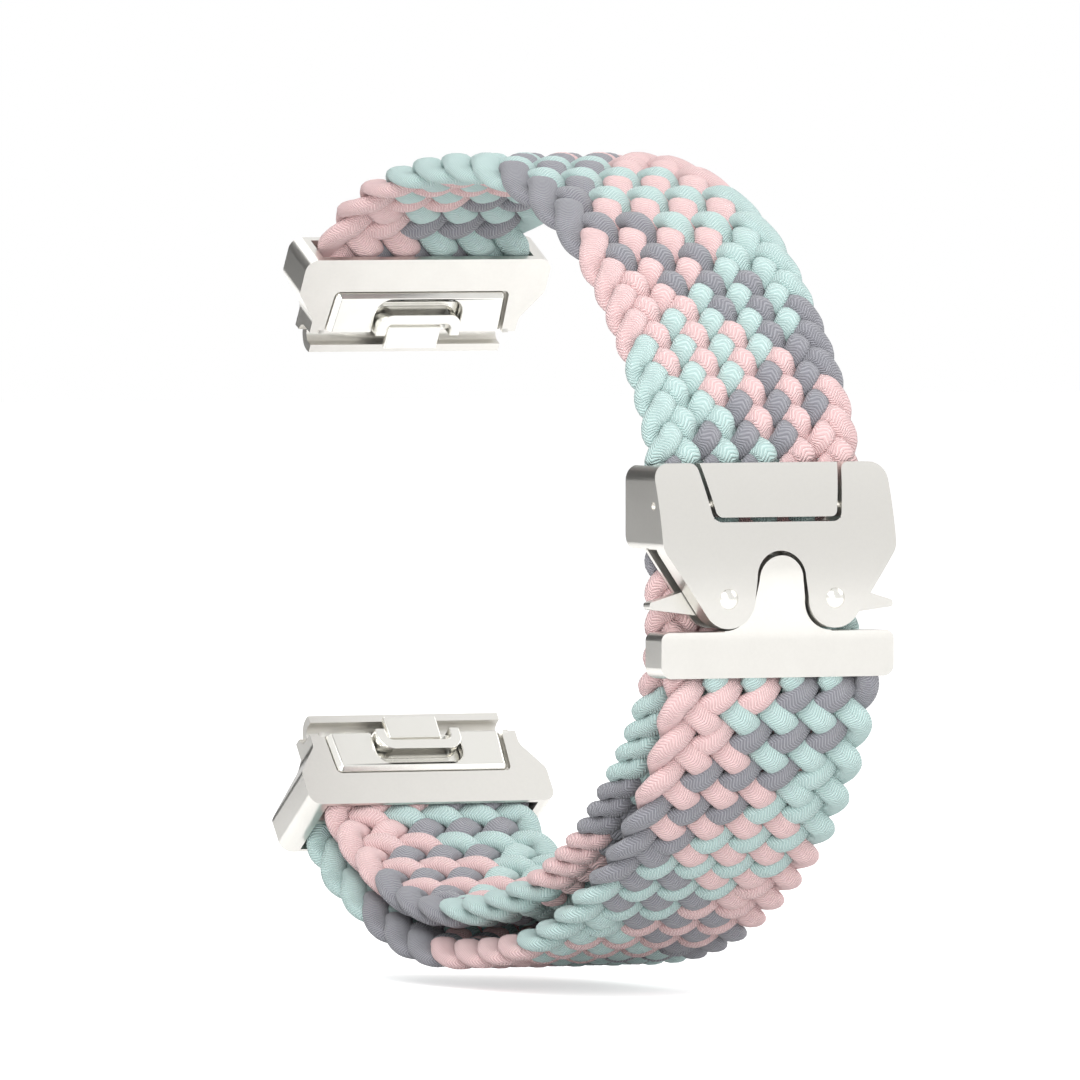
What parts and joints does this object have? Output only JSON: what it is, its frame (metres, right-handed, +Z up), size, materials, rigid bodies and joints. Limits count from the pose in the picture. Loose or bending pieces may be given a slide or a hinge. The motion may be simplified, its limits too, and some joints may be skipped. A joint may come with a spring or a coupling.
{
  "type": "braided elastic watch strap",
  "caption": "Loop of flat elastic braid with hook-on quick-release end links and a front clasp whose tongue is freed by two side levers.",
  "frame": {"origin": "middle of the upper bar channel's axis", "axes": "+Z up, towards the upper run; X along the strap's width; the clasp is on the -Y side and the watch on the +Y side"},
  "size_m": [0.03, 0.0944, 0.0887],
  "materials": {
    "nickel_satin": "satin nickel plate",
    "nickel_polished": "polished nickel plate",
    "spring_wire": "drawn spring steel",
    "braid": "braided elastic cord in mint, pink and grey"
  },
  "bodies": {
    "loop": {"upper_end_housing": "nickel_satin", "upper_strap_pin": "nickel_satin", "upper_latch_cover": "nickel_polished", "upper_latch_springs": "spring_wire", "lower_end_housing": "nickel_satin", "lower_cross_bar": "nickel_satin", "lower_latch_cover": "nickel_polished", "lower_latch_springs": "spring_wire", "strap_upper_run": "braid", "strap_under_clasp": "braid", "strap_inner_run": "braid", "strap_fold": "braid", "strap_outer_run": "braid", "clasp_body": "nickel_satin", "clasp_rear_plate": "nickel_satin", "lever_base_plate": "nickel_satin", "flap_hinge_pin": "nickel_satin", "lever_rivets": "nickel_polished", "catch_spring": "spring_wire"},
    "upper_latch": {"upper_latch_slider": "nickel_polished"},
    "lower_latch": {"lower_latch_slider": "nickel_polished"},
    "flap": {"clasp_flap": "nickel_satin"},
    "left_lever": {"left_release_lever": "nickel_satin"},
    "right_lever": {"right_release_lever": "nickel_satin"},
    "tongue": {"clasp_tongue": "nickel_satin", "tongue_strap_pin": "nickel_satin"}
  },
  "joints": [
    {"name": "upper_latch_slide", "type": "slide", "parent": "loop", "child": "upper_latch", "axis": [0, -0.5, 0.866], "range_m": [0, 0.0012], "stiffness_N_per_m": 400, "springref_m": -0.001, "deforming": ["upper_latch_springs"]},
    {"name": "lower_latch_slide", "type": "slide", "parent": "loop", "child": "lower_latch", "axis": [0, -0.5878, -0.809], "range_m": [0, 0.0012], "stiffness_N_per_m": 400, "springref_m": -0.001, "deforming": ["lower_latch_springs"]},
    {"name": "flap_hinge", "type": "hinge", "parent": "loop", "child": "flap", "pos_m": [0, -0.0881, -0.017], "axis": [1, 0, 0], "range_deg": [0, 85]},
    {"name": "left_lever_press", "type": "hinge", "parent": "loop", "child": "left_lever", "pos_m": [-0.00635, -0.0876, -0.0269], "axis": [0, -1, 0], "range_deg": [0, 12], "stiffness_Nm_per_rad": 0.02, "springref_deg": -11.46, "deforming": ["catch_spring"]},
    {"name": "right_lever_press", "type": "hinge", "parent": "loop", "child": "right_lever", "pos_m": [0.00635, -0.0876, -0.0269], "axis": [0, 1, 0], "range_deg": [0, 12], "stiffness_Nm_per_rad": 0.02, "springref_deg": -11.46, "deforming": ["catch_spring"]},
    {"name": "tongue_slide", "type": "slide", "parent": "loop", "child": "tongue", "axis": [0, 0, -1], "range_m": [0, 0.009], "deforming": ["strap_outer_run", "catch_spring"]}
  ]
}
